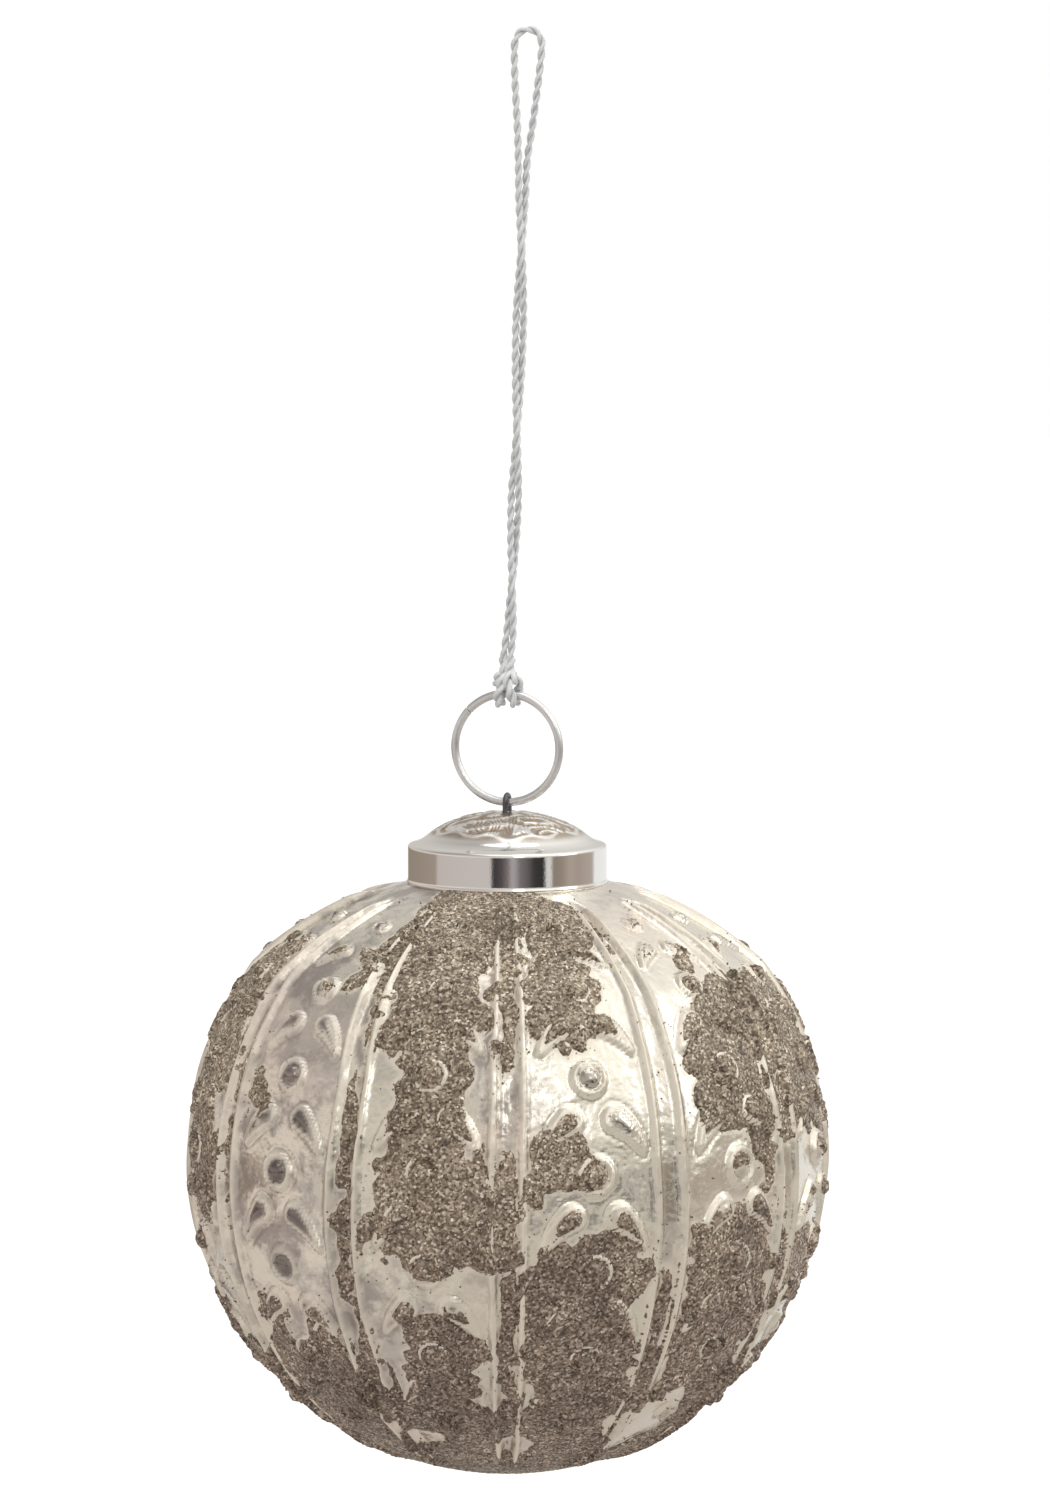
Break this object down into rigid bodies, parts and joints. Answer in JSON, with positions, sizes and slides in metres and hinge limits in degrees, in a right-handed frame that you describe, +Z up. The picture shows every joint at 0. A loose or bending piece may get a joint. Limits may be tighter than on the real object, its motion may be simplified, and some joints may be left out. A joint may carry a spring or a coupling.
{
  "type": "glass ball ornament",
  "caption": "Hanging ball ornament of embossed silvered glass with glued grain patches, stamped dome cap, wire staple, split ring and knotted loop of twisted cord.",
  "frame": {"origin": "the point where a hook carries the cord, under the top of its loop", "axes": "+Z up along the hanging line, X in the plane of the split ring, Y through the ring"},
  "size_m": [0.1012, 0.1012, 0.2289],
  "materials": {
    "blown_glass": "embossed clear glass over a champagne silver lining, glossy, a little mottled",
    "silver_coat": "silver mirror coat inside the glass",
    "glass_grains": "coarse pewter glass grains glued on in patches, glittering",
    "plated_cap": "bright plated, stamped scroll relief on the dome, plain polished band",
    "spring_wire": "dark drawn steel wire",
    "satin_nickel": "satin nickel plated wire",
    "lurex_cord": "silver metallic thread, two strands twisted"
  },
  "bodies": {
    "cord": {"cord_loop": "lurex_cord"},
    "knot": {"cord_knot": "lurex_cord"},
    "ring": {"hanger_ring": "satin_nickel"},
    "cap": {"cap_shell": "plated_cap", "staple_prongs": "spring_wire"},
    "ball": {"glass_ball": "blown_glass", "silver_lining": "silver_coat", "grain_coat": "glass_grains"}
  },
  "joints": [
    {"name": "cord_twist", "type": "hinge", "parent": "cord", "child": "knot", "pos_m": [-0.0035, 0, -0.1035], "axis": [0, 0, 1], "range_deg": [-180, 180]},
    {"name": "ring_swing", "type": "hinge", "parent": "knot", "child": "ring", "pos_m": [-0.0035, 0, -0.1035], "axis": [1, 0, 0], "range_deg": [-45, 45]},
    {"name": "eye_swing", "type": "hinge", "parent": "ring", "child": "cap", "pos_m": [-0.0035, 0, -0.1207], "axis": [1, 0, 0], "range_deg": [-80, 80]},
    {"name": "cap_pull", "type": "slide", "parent": "cap", "child": "ball", "axis": [0, 0, -1], "range_m": [0, 0.016]}
  ]
}
